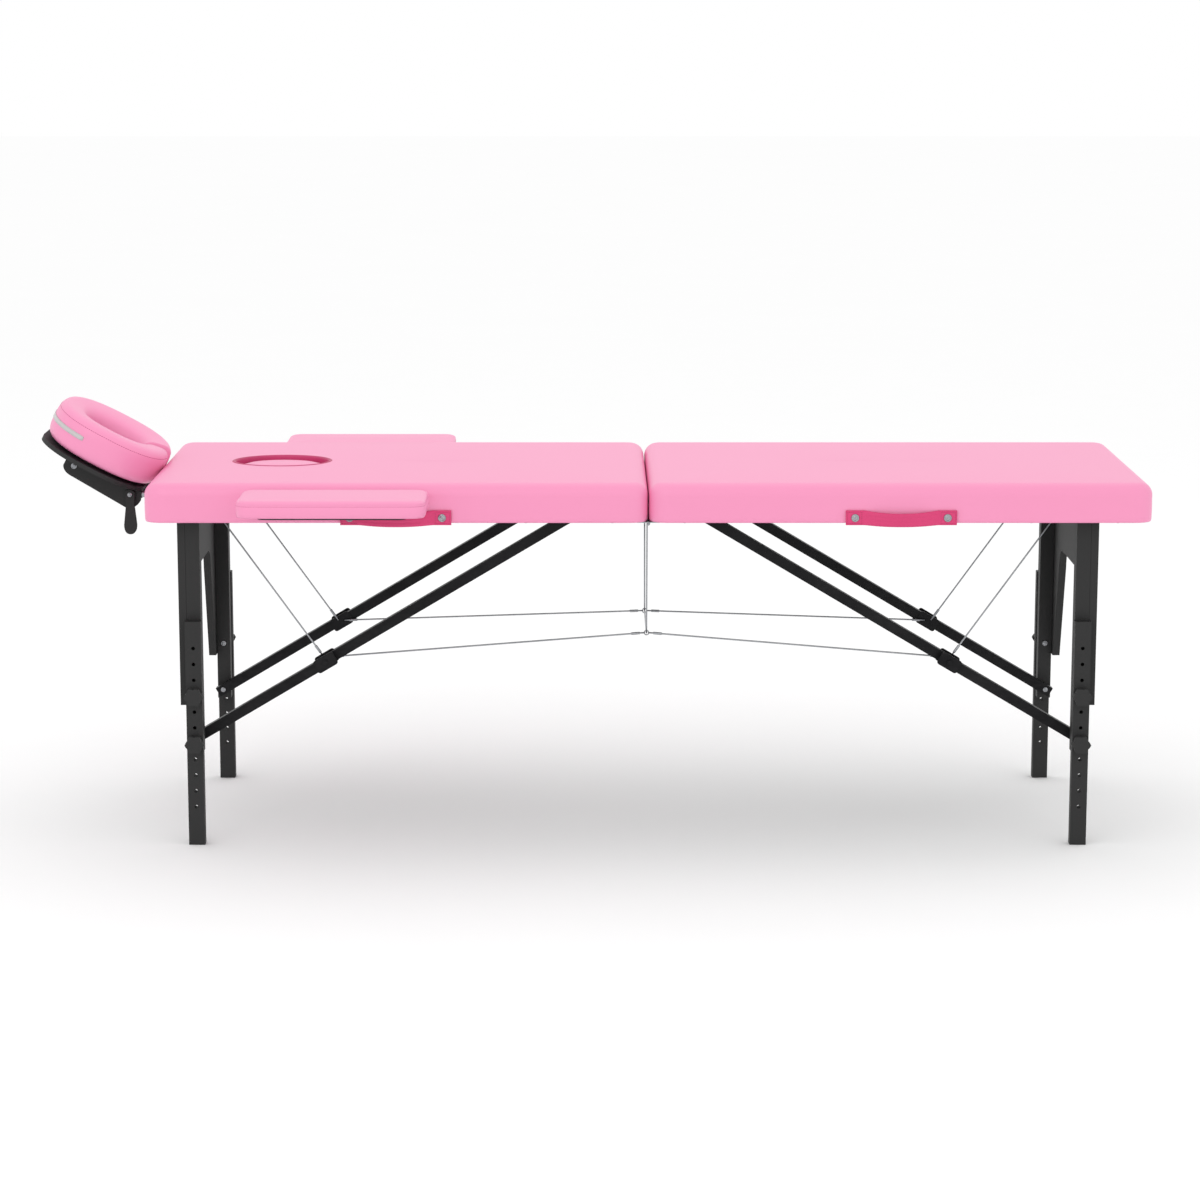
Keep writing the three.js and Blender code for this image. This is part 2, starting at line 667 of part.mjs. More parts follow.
// ---- face cradle -----------------------------------------------------------
function addCradle() {
  const tilted = new THREE.Group();
  tilted.position.set(-HALF_LENGTH - CRADLE_FAR_X, 0, CRADLE_FAR_Z);
  tilted.rotation.y = THREE.MathUtils.degToRad(CRADLE_TILT);
  table.add(tilted);
  const middle = CRADLE_LONG / 2;

  const ring = roundedRectangle(CRADLE_LONG, CRADLE_WIDE, CRADLE_LONG * 0.44);
  let cushion = placed(ring, middle, 0, CRADLE_PLATE + GAP, CRADLE_PLATE + CRADLE_THICK, CRADLE_EDGE);
  cushion = cushion.subtract(
    placed(oval(CRADLE_OPENING_LONG, CRADLE_OPENING_WIDE), middle, 0, -9, CRADLE_THICK + 19),
  );
  cushion = cushion.subtract(
    box(middle, CRADLE_LONG + 9, -CRADLE_MOUTH / 2, CRADLE_MOUTH / 2, -9, CRADLE_THICK + 19),
  );
  addNode('cradle_cushion', cushion, pinkVinyl, tilted);

  let base = placed(
    roundedRectangle(CRADLE_LONG - 16, CRADLE_WIDE - 16, CRADLE_LONG * 0.4),
    middle,
    0,
    0,
    CRADLE_PLATE,
  );
  base = base.subtract(placed(oval(CRADLE_OPENING_LONG + 6, CRADLE_OPENING_WIDE + 6), middle, 0, -9, 19));
  base = base.subtract(box(middle, CRADLE_LONG + 9, -CRADLE_MOUTH / 2, CRADLE_MOUTH / 2, -9, 19));
  const pivotX = CRADLE_PIVOT_X;
  const pivotZ = CRADLE_PIVOT_Z;
  const lugInner = CRADLE_ARM_SPREAD - CRADLE_ARM_THICK / 2 - GAP - 7;
  for (const side of [-1, 1]) {
    base = base.add(box(pivotX - 9, pivotX + 9, side * lugInner, side * (lugInner + 7), pivotZ - 8, 1));
    base = base.subtract(
      rodAlongY(pivotX, side * (lugInner - 3), side * (lugInner + 10), pivotZ, PIVOT_RADIUS + PIN_GAP),
    );
  }
  addNode('cradle_plate', base, blackPlastic, tilted);

  const arm = new THREE.Shape();
  const deep = CRADLE_ARM_DEEP;
  arm.moveTo(pivotX - 12, -GAP - 12);
  arm.lineTo(pivotX - 12, -GAP - 24);
  arm.quadraticCurveTo(pivotX - 8, -deep, pivotX + 6, -deep - 2);
  arm.lineTo(pivotX + CRADLE_ARM_LONG - 16, -deep - 8);
  arm.quadraticCurveTo(pivotX + CRADLE_ARM_LONG, -deep, pivotX + CRADLE_ARM_LONG, -deep / 2);
  arm.lineTo(pivotX + CRADLE_ARM_LONG - 6, -GAP - 1);
  arm.lineTo(pivotX - 4, -GAP - 1);
  arm.closePath();
  let carrier = null;
  for (const side of [-1, 1]) {
    const y0 = side * (CRADLE_ARM_SPREAD - CRADLE_ARM_THICK / 2);
    const y1 = side * (CRADLE_ARM_SPREAD + CRADLE_ARM_THICK / 2);
    const cheek = plate(arm, y0, y1);
    carrier = carrier ? carrier.add(cheek) : cheek;
    carrier = carrier.add(rodAlongY(pivotX, y0 + side, side * (lugInner + 1), pivotZ, PIVOT_RADIUS));
  }
  const barX = pivotX + CRADLE_ARM_LONG - 22;
  carrier = carrier.add(rodAlongY(barX, -CRADLE_ARM_SPREAD, CRADLE_ARM_SPREAD, CRADLE_BAR_Z, 7));
  addNode('cradle_carrier', carrier, blackPlastic, tilted);

  const angle = THREE.MathUtils.degToRad(CRADLE_TILT);
  const worldX = (x, z) => tilted.position.x + x * Math.cos(angle) + z * Math.sin(angle);
  const worldZ = (x, z) => tilted.position.z - x * Math.sin(angle) + z * Math.cos(angle);
  const leverX = worldX(barX, CRADLE_BAR_Z);
  const leverZ = worldZ(barX, CRADLE_BAR_Z);
  const rodZ = FOLD_Z - 2;
  const cheekOuter = CRADLE_ARM_SPREAD + CRADLE_ARM_THICK / 2;
  const lever = new THREE.Shape();
  lever.moveTo(-9, 4);
  lever.lineTo(-8, -22);
  lever.lineTo(-LEVER_WIDE / 2, -LEVER_LONG + 18);
  lever.quadraticCurveTo(-LEVER_WIDE / 2, -LEVER_LONG, 0, -LEVER_LONG);
  lever.quadraticCurveTo(LEVER_WIDE / 2, -LEVER_LONG, LEVER_WIDE / 2, -LEVER_LONG + 18);
  lever.lineTo(8, -22);
  lever.lineTo(9, 4);
  lever.quadraticCurveTo(0, 14, -9, 4);
  const handle = plate(lever, -cheekOuter - GAP - 9, -cheekOuter - GAP, leverX - 1, leverZ);
  addNode('cradle_lever', handle, blackPlastic);
  for (const side of [-1, 1]) {
    const rodStart = worldX(pivotX + CRADLE_ARM_LONG - 6, -GAP - 1) + 2 * GAP;
    const rod = rodAlongX(
      rodStart,
      -HALF_LENGTH + ROD_REACH - 6,
      side * CRADLE_ARM_SPREAD,
      rodZ,
      ROD_RADIUS,
    );
    addNode(side < 0 ? 'cradle_rod_front' : 'cradle_rod_back', rod, steel);
  }
}

for (const end of [-1, 1]) {
  const plan = sectionPlan(end);
  addSection(plan);
  addLegFrame(plan);
  addBraces(plan);
  addHandle(end);
}
addMiddleHinge();
addCentreCable();
addArmrest(-1);
addArmrest(1);
addCradle();

table.updateMatrixWorld(true);
const extent = new THREE.Box3().setFromObject(table);
const whole = new THREE.Group();
table.position.x = -(extent.min.x + extent.max.x) / 2;
whole.add(table);

export default whole;
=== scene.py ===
"""The looks of a portable massage table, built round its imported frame."""

import logging
import math
from dataclasses import dataclass, field
from enum import Enum
from typing import Callable, Iterable, Sequence

import bmesh
import bpy
from mathutils import Matrix, Vector


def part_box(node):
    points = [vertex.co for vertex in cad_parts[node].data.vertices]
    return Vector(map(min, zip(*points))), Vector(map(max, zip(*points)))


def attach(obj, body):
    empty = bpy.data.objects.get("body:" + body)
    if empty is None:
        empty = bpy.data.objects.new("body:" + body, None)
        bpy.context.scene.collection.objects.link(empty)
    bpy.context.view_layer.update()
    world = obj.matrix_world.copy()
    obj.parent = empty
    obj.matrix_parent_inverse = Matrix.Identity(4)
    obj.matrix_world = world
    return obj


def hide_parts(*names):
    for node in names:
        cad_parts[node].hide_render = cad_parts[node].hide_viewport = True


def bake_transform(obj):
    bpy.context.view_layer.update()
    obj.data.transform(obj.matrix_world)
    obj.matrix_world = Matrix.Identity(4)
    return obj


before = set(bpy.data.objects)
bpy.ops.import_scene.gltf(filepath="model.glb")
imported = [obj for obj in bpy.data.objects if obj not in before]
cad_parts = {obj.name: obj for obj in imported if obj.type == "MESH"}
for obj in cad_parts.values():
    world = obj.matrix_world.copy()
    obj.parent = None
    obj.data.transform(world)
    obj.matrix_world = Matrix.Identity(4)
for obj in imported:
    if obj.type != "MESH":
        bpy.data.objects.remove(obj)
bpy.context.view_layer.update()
MM = 0.001
LOG = logging.getLogger("massage_table")
Point = tuple[float, float, float]
Plan = tuple[float, float]


class Side(Enum):
    """The two long sides of the table."""

    FRONT = -1
    BACK = 1


class End(Enum):
    """The two ends of the table."""

    HEAD = -1
    FOOT = 1


# ---- finishes ---------------------------------------------------------------


@dataclass(frozen=True)
class Finish:
    """A surface finish with a grain that reads Object coordinates."""

    name: str
    colour: tuple[float, float, float]
    shade: tuple[float, float, float]
    roughness: float
    rough_spread: float
    grain_scale: float
    grain_depth: float
    stretch: tuple[float, float, float] = (1.0, 1.0, 1.0)
    metallic: float = 0.0
    sheen: float = 0.0
    coat: float = 0.0
    specular: float = 0.5
    cells: bool = False

    def material(self) -> bpy.types.Material:
        """Builds the material once and gives it back afterwards.

        Returns:
            The material of this finish.
        """
        made = bpy.data.materials.get(self.name)
        if made:
            return made
        made = bpy.data.materials.new(self.name)
        made.use_nodes = True
        made.diffuse_color = (*self.colour, 1.0)
        tree = made.node_tree
        shader = tree.nodes["Principled BSDF"]
        shader.inputs["Metallic"].default_value = self.metallic
        shader.inputs["Sheen Weight"].default_value = self.sheen
        shader.inputs["Sheen Roughness"].default_value = 0.4
        shader.inputs["Specular IOR Level"].default_value = self.specular
        shader.inputs["Coat Weight"].default_value = self.coat
        shader.inputs["Coat Roughness"].default_value = 0.25
        place = tree.nodes.new("ShaderNodeTexCoord")
        mapping = tree.nodes.new("ShaderNodeMapping")
        mapping.inputs["Scale"].default_value = self.stretch
        tree.links.new(place.outputs["Object"], mapping.inputs["Vector"])
        cloud = self._noise(tree, mapping, 9.0, 3.0)
        fine = self._noise(tree, mapping, self.grain_scale, 4.0)
        self._colour(tree, shader, cloud, fine)
        self._roughness(tree, shader, fine)
        self._bump(tree, shader, mapping, fine)
        return made

    def _noise(
        self,
        tree: bpy.types.NodeTree,
        mapping: bpy.types.Node,
        scale: float,
        detail: float,
    ) -> bpy.types.Node:
        """Adds one noise texture.

        Args:
            tree: The material's tree.
            mapping: The node that gives its place.
            scale: How fine it is.
            detail: How many octaves it has.

        Returns:
            The noise node.
        """
        node = tree.nodes.new("ShaderNodeTexNoise")
        node.inputs["Scale"].default_value = scale
        node.inputs["Detail"].default_value = detail
        tree.links.new(mapping.outputs["Vector"], node.inputs["Vector"])
        return node

    def _colour(
        self,
        tree: bpy.types.NodeTree,
        shader: bpy.types.Node,
        cloud: bpy.types.Node,
        fine: bpy.types.Node,
    ) -> None:
        """Mixes the colour and its darker shade by the two noises.

        Args:
            tree: The material's tree.
            shader: The shader that takes the result.
            cloud: The broad noise.
            fine: The fine noise.
        """
        blend = tree.nodes.new("ShaderNodeMath")
        blend.operation = "MULTIPLY_ADD"
        blend.inputs[1].default_value = 0.5
        tree.links.new(cloud.outputs["Fac"], blend.inputs[0])
        half = tree.nodes.new("ShaderNodeMath")
        half.operation = "MULTIPLY"
        half.inputs[1].default_value = 0.5
        tree.links.new(fine.outputs["Fac"], half.inputs[0])
        tree.links.new(half.outputs[0], blend.inputs[2])
        ramp = tree.nodes.new("ShaderNodeValToRGB")
        ramp.color_ramp.elements[0].position = 0.33
        ramp.color_ramp.elements[0].color = (*self.shade, 1.0)
        ramp.color_ramp.elements[1].position = 0.62
        ramp.color_ramp.elements[1].color = (*self.colour, 1.0)
        tree.links.new(blend.outputs[0], ramp.inputs["Fac"])
        tree.links.new(ramp.outputs["Color"], shader.inputs["Base Color"])

    def _roughness(self, tree: bpy.types.NodeTree, shader: bpy.types.Node, fine: bpy.types.Node) -> None:
        """Lets the fine noise vary the roughness.

        Args:
            tree: The material's tree.
            shader: The shader that takes the result.
            fine: The fine noise.
        """
        spread = tree.nodes.new("ShaderNodeMapRange")
        spread.inputs["To Min"].default_value = self.roughness - self.rough_spread
        spread.inputs["To Max"].default_value = self.roughness + self.rough_spread
        tree.links.new(fine.outputs["Fac"], spread.inputs["Value"])
        tree.links.new(spread.outputs["Result"], shader.inputs["Roughness"])

    def _bump(
        self,
        tree: bpy.types.NodeTree,
        shader: bpy.types.Node,
        mapping: bpy.types.Node,
        fine: bpy.types.Node,
    ) -> None:
        """Adds the grain's relief, as leather cells or as plain noise.

        Args:
            tree: The material's tree.
            shader: The shader that takes the result.
            mapping: The node that gives the place.
            fine: The fine noise.
        """
        bump = tree.nodes.new("ShaderNodeBump")
        bump.inputs["Strength"].default_value = 0.16
        bump.inputs["Distance"].default_value = self.grain_depth
        source = fine.outputs["Fac"]
        if self.cells:
            cell = tree.nodes.new("ShaderNodeTexVoronoi")
            cell.feature = "DISTANCE_TO_EDGE"
            cell.inputs["Scale"].default_value = self.grain_scale * 1.6
            tree.links.new(mapping.outputs["Vector"], cell.inputs["Vector"])
            source = cell.outputs["Distance"]
        tree.links.new(source, bump.inputs["Height"])
        tree.links.new(bump.outputs["Normal"], shader.inputs["Normal"])


PINK_VINYL = Finish(
    "pink_vinyl",
    (0.78, 0.050, 0.208),
    (0.72, 0.040, 0.182),
    0.38,
    0.05,
    420.0,
    0.00025,
    coat=0.1,
    cells=True,
)
# Darker pink for the face hole's rolled rim: painted shade for the recess round the plug, not a different
# vinyl.
RECESS_SHADE_PINK_VINYL = Finish(
    "deep_pink_vinyl",
    (0.55, 0.035, 0.15),
    (0.45, 0.025, 0.12),
    0.45,
    0.05,
    420.0,
    0.00025,
    cells=True,
)
STRAP_PINK = Finish(
    "strap_pink",
    (0.72, 0.040, 0.178),
    (0.62, 0.030, 0.148),
    0.45,
    0.05,
    420.0,
    0.0002,
    cells=True,
)
PINK_THREAD = Finish(
    "pink_thread",
    (0.46, 0.03, 0.13),
    (0.38, 0.022, 0.10),
    0.6,
    0.05,
    900.0,
    0.0002,
    stretch=(1.0, 3.0, 1.0),
)
BLACK_WOOD = Finish(
    "black_wood",
    (0.009, 0.009, 0.010),
    (0.003, 0.003, 0.004),
    0.42,
    0.12,
    60.0,
    0.0006,
    stretch=(6.0, 6.0, 0.6),
    specular=0.12,
)
BRACE_WOOD = Finish(
    "brace_wood",
    (0.013, 0.013, 0.014),
    (0.004, 0.004, 0.005),
    0.42,
    0.12,
    60.0,
    0.0006,
    stretch=(1.2, 6.0, 2.0),
    specular=0.14,
)
DECK_BOARD = Finish(
    "deck_board",
    (0.10, 0.075, 0.055),
    (0.05, 0.036, 0.027),
    0.65,
    0.08,
    45.0,
    0.0005,
    stretch=(0.8, 6.0, 6.0),
)
BLACK_PLASTIC = Finish(
    "black_plastic",
    (0.012, 0.012, 0.013),
    (0.007, 0.007, 0.008),
    0.42,
    0.06,
    650.0,
    0.00018,
    specular=0.22,
)
BRIGHT_STEEL = Finish(
    "bright_steel",
    (0.42, 0.43, 0.45),
    (0.28, 0.29, 0.31),
    0.30,
    0.07,
    300.0,
    0.0001,
    metallic=1.0,
)
GREY_TAPE = Finish(
    "grey_tape",
    (0.62, 0.60, 0.60),
    (0.50, 0.48, 0.48),
    0.75,
    0.05,
    1400.0,
    0.0003,
    sheen=0.3,
)


# ---- mesh helpers -------------------------------------------------------------


def to_object(
    name: str,
    verts: Sequence[Point],
    faces: Sequence[Sequence[int]],
    finish: Finish,
    smooth: bool = True,
) -> bpy.types.Object:
    """Makes a mesh object at the origin with outward faces.

    Args:
        name: The piece's name.
        verts: Its vertices, in metres.
        faces: Its faces.
        finish: What it is made of.
        smooth: Whether its faces are shaded smooth.

    Returns:
        The new object.
    """
    mesh = bpy.data.meshes.new(name)
    mesh.from_pydata(list(verts), [], [list(f) for f in faces])
    work = bmesh.new()
    work.from_mesh(mesh)
    bmesh.ops.remove_doubles(work, verts=work.verts, dist=2e-6)
    bmesh.ops.recalc_face_normals(work, faces=work.faces)
    work.to_mesh(mesh)
    work.free()
    for polygon in mesh.polygons:
        polygon.use_smooth = smooth
    mesh.materials.append(finish.material())
    made = bpy.data.objects.new(name, mesh)
    bpy.context.scene.collection.objects.link(made)
    return made


def loft(rings: Sequence[Sequence[Point]], closed: bool = False) -> tuple[list[Point], list[list[int]]]:
    """Joins rings of equal length into a skin.

    Args:
        rings: The rings, in order.
        closed: Whether the last ring joins the first; otherwise both ends are capped.

    Returns:
        The vertices and the faces.
    """
    size = len(rings[0])
    verts = [p for ring in rings for p in ring]
    faces = []
    count = len(rings)
    for i in range(count if closed else count - 1):
        low = i * size
        high = ((i + 1) % count) * size
        for k in range(size):
            after = (k + 1) % size
            faces.append([low + k, low + after, high + after, high + k])
    if not closed:
        faces.append(list(range(size)))
        faces.append([(count - 1) * size + k for k in range(size)])
    return verts, faces


def rounded_outline(
    half_x: float,
    half_y: float,
    radius: float,
    per_corner: int = 12,
    per_side: int = 14,
) -> list[Plan]:
    """A rounded rectangle about the origin, with points along its sides too.

    Args:
        half_x: Half its length.
        half_y: Half its width.
        radius: Its corners' radius.
        per_corner: Steps in each corner.
        per_side: Steps in each side.

    Returns:
        Its points, anticlockwise.
    """
    radius = max(min(radius, half_x - 1e-4, half_y - 1e-4), 2e-4)
    corners = [(1, -1, -90), (1, 1, 0), (-1, 1, 90), (-1, -1, 180)]
    points: list[Plan] = []
    for index, (sx, sy, start) in enumerate(corners):
        cx, cy = sx * (half_x - radius), sy * (half_y - radius)
        arc = [
            (
                cx + radius * math.cos(math.radians(start + 90 * k / per_corner)),
                cy + radius * math.sin(math.radians(start + 90 * k / per_corner)),
            )
            for k in range(per_corner + 1)
        ]
        points += arc
        nx, ny, nstart = corners[(index + 1) % 4]
        goal = (
            nx * (half_x - radius) + radius * math.cos(math.radians(nstart)),
            ny * (half_y - radius) + radius * math.sin(math.radians(nstart)),
        )
        last = arc[-1]
        points += [
            (last[0] + (goal[0] - last[0]) * k / per_side, last[1] + (goal[1] - last[1]) * k / per_side)
            for k in range(1, per_side)
        ]
    return points


def tube(path: Sequence[Vector], radius: float, sides: int = 10) -> tuple[list[Point], list[list[int]]]:
    """A round tube with capped ends along a path.

    Args:
        path: The points it follows.
        radius: Its radius.
        sides: How many sides it has.

    Returns:
        The vertices and the faces.
    """
    rings = []
    up = Vector((0.0, 0.0, 1.0))
    for i, p in enumerate(path):
        along = (path[min(i + 1, len(path) - 1)] - path[max(i - 1, 0)]).normalized()
        if abs(along.dot(up)) > 0.95:
            up = Vector((1.0, 0.0, 0.0))
        across = along.cross(up).normalized()
        lift = across.cross(along).normalized()
        up = lift
        rings.append(
            [
                tuple(
                    p + across * (radius * math.cos(2 * math.pi * k / sides)) + lift * (
                        radius * math.sin(2 * math.pi * k / sides)
                    ),
                )
                for k in range(sides)
            ]
        )
    return loft(rings)


def merge(parts: Iterable[tuple[list[Point], list[list[int]]]]) -> tuple[list[Point], list[list[int]]]:
    """Puts several skins into one list of vertices and faces.

    Args:
        parts: The skins, each as its vertices and its faces.

    Returns:
        All the vertices and all the faces.
    """
    verts: list[Point] = []
    faces: list[list[int]] = []
    for part_verts, part_faces in parts:
        base = len(verts)
        verts += part_verts
        faces += [[base + i for i in f] for f in part_faces]
    return verts, faces


def dress(node: str, finish: Finish) -> None:
    """Gives a CAD node its finish.

    Args:
        node: The node's name.
        finish: What it is made of.
    """
    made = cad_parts[node]
    made.data.materials.clear()
    made.data.materials.append(finish.material())


# ---- what repeats: geometry nodes ----------------------------------------------


@dataclass(frozen=True)
class StitchRun:
    """A row of thread stitches along a closed or open path."""

    name: str
    points: tuple[Point, ...]
    pitch: float = 5.0 * MM
    radius: float = 0.45 * MM
    cyclic: bool = True

    def build(self) -> bpy.types.Object:
        """Builds the row with geometry nodes and turns it into a plain mesh.

        Returns:
            The stitches as one object.
        """
        curve = bpy.data.curves.new(self.name + "_path", "CURVE")
        curve.dimensions = "3D"
        spline = curve.splines.new("POLY")
        spline.points.add(len(self.points) - 1)
        for target, p in zip(spline.points, self.points):
            target.co = (*p, 1.0)
        spline.use_cyclic_u = self.cyclic
        holder = bpy.data.objects.new(self.name + "_path", curve)
        bpy.context.scene.collection.objects.link(holder)
        tree = bpy.data.node_groups.new(self.name + "_tree", "GeometryNodeTree")
        tree.interface.new_socket("Geometry", in_out="INPUT", socket_type="NodeSocketGeometry")
        pitch = tree.interface.new_socket("Pitch", in_out="INPUT", socket_type="NodeSocketFloat")
        thread = tree.interface.new_socket("Thread Radius", in_out="INPUT", socket_type="NodeSocketFloat")
        tree.interface.new_socket("Geometry", in_out="OUTPUT", socket_type="NodeSocketGeometry")
        nodes, links = tree.nodes, tree.links
        source = nodes.new("NodeGroupInput")
        sample = nodes.new("GeometryNodeResampleCurve")
        sample.mode = "LENGTH"
        links.new(source.outputs["Geometry"], sample.inputs["Curve"])
        links.new(source.outputs["Pitch"], sample.inputs["Length"])
        to_points = nodes.new("GeometryNodeCurveToPoints")
        to_points.mode = "EVALUATED"
        links.new(sample.outputs["Curve"], to_points.inputs["Curve"])
        bead = nodes.new("GeometryNodeMeshUVSphere")
        bead.inputs["Segments"].default_value = 6
        bead.inputs["Rings"].default_value = 4
        links.new(source.outputs["Thread Radius"], bead.inputs["Radius"])
        long_bead = nodes.new("GeometryNodeTransform")
        long_bead.inputs["Scale"].default_value = (1.0, 1.0, 4.0)
        links.new(bead.outputs["Mesh"], long_bead.inputs["Geometry"])
        scatter = nodes.new("GeometryNodeInstanceOnPoints")
        links.new(to_points.outputs["Points"], scatter.inputs["Points"])
        links.new(long_bead.outputs["Geometry"], scatter.inputs["Instance"])
        links.new(to_points.outputs["Rotation"], scatter.inputs["Rotation"])
        real = nodes.new("GeometryNodeRealizeInstances")
        links.new(scatter.outputs["Instances"], real.inputs["Geometry"])
        coat = nodes.new("GeometryNodeSetMaterial")
        coat.inputs["Material"].default_value = PINK_THREAD.material()
        links.new(real.outputs["Geometry"], coat.inputs["Geometry"])
        sink = nodes.new("NodeGroupOutput")
        links.new(coat.outputs["Geometry"], sink.inputs["Geometry"])
        modifier = holder.modifiers.new("stitches", "NODES")
        modifier.node_group = tree
        modifier[pitch.identifier] = self.pitch
        modifier[thread.identifier] = self.radius
        return plain_mesh(holder, self.name)


@dataclass(frozen=True)
class ScrewSet:
    """Domed cross-head screws in cup washers, all facing one way."""

    name: str
    places: tuple[Point, ...]
    turn: tuple[float, float, float]
    radius: float = 6.5 * MM

    def build(self) -> bpy.types.Object:
        """Builds the screws with geometry nodes and turns them into a plain mesh.

        Returns:
            The screws as one object.
        """
        cloud = bpy.data.meshes.new(self.name + "_points")
        cloud.from_pydata(list(self.places), [], [])
        holder = bpy.data.objects.new(self.name + "_points", cloud)
        bpy.context.scene.collection.objects.link(holder)
        pattern = self._pattern()
        tree = bpy.data.node_groups.new(self.name + "_tree", "GeometryNodeTree")
        tree.interface.new_socket("Geometry", in_out="INPUT", socket_type="NodeSocketGeometry")
        turn = tree.interface.new_socket("Facing", in_out="INPUT", socket_type="NodeSocketVector")
        size = tree.interface.new_socket("Head Radius", in_out="INPUT", socket_type="NodeSocketFloat")
        tree.interface.new_socket("Geometry", in_out="OUTPUT", socket_type="NodeSocketGeometry")
        nodes, links = tree.nodes, tree.links
        source = nodes.new("NodeGroupInput")
        info = nodes.new("GeometryNodeObjectInfo")
        info.inputs["Object"].default_value = pattern
        scatter = nodes.new("GeometryNodeInstanceOnPoints")
        links.new(source.outputs["Geometry"], scatter.inputs["Points"])
        links.new(info.outputs["Geometry"], scatter.inputs["Instance"])
        links.new(source.outputs["Facing"], scatter.inputs["Rotation"])
        links.new(source.outputs["Head Radius"], scatter.inputs["Scale"])
        real = nodes.new("GeometryNodeRealizeInstances")
        links.new(scatter.outputs["Instances"], real.inputs["Geometry"])
        coat = nodes.new("GeometryNodeSetMaterial")
        coat.inputs["Material"].default_value = BRIGHT_STEEL.material()
        links.new(real.outputs["Geometry"], coat.inputs["Geometry"])
        sink = nodes.new("NodeGroupOutput")
        links.new(coat.outputs["Geometry"], sink.inputs["Geometry"])
        modifier = holder.modifiers.new("screws", "NODES")
        modifier.node_group = tree
        modifier[turn.identifier] = self.turn
        modifier[size.identifier] = self.radius
        made = plain_mesh(holder, self.name)
        bpy.data.objects.remove(pattern)
        return made

    def _pattern(self) -> bpy.types.Object:
        """One screw of radius 1 facing +Z: cup washer, dome and cross recess.

        Returns:
            The screw, to be copied to each place.
        """
        profile = [
            (1.0, 0.0),
            (1.0, 0.14),
            (0.86, 0.34),
            (0.72, 0.34),
            (0.66, 0.22),
            (0.6, 0.3),
            (0.4, 0.42),
            (0.2, 0.47),
        ]
        sides = 24
        rings = [
            [
                (
                    r * math.cos(2 * math.pi * k / sides),
                    r * math.sin(2 * math.pi * k / sides),
                    z,
                ) for k in range(sides)
            ]
            for r, z in profile
        ]
        cross = []
        for k in range(sides):
            angle = 2 * math.pi * k / sides
            deep = 0.14 if k % 6 in (0, 1, 5) else 0.44
            cross.append((0.12 * math.cos(angle), 0.12 * math.sin(angle), deep))
        rings.append(cross)
        verts, faces = loft(rings)
        return to_object(self.name + "_pattern", verts, faces, BRIGHT_STEEL)


def plain_mesh(holder: bpy.types.Object, name: str) -> bpy.types.Object:
    """Turns an object's evaluated result into a plain mesh object.

    Args:
        holder: The object with the live modifier, removed here.
        name: The new object's name.

    Returns:
        The new object.
    """
    bpy.context.view_layer.update()
    graph = bpy.context.evaluated_depsgraph_get()
    mesh = bpy.data.meshes.new_from_object(holder.evaluated_get(graph))
    mesh.name = name
    made = bpy.data.objects.new(name, mesh)
    bpy.context.scene.collection.objects.link(made)
    holder.modifiers.clear()
    bpy.data.objects.remove(holder)
    for polygon in mesh.polygons:
        polygon.use_smooth = True
    return made


# ---- sub-assemblies ------------------------------------------------------------


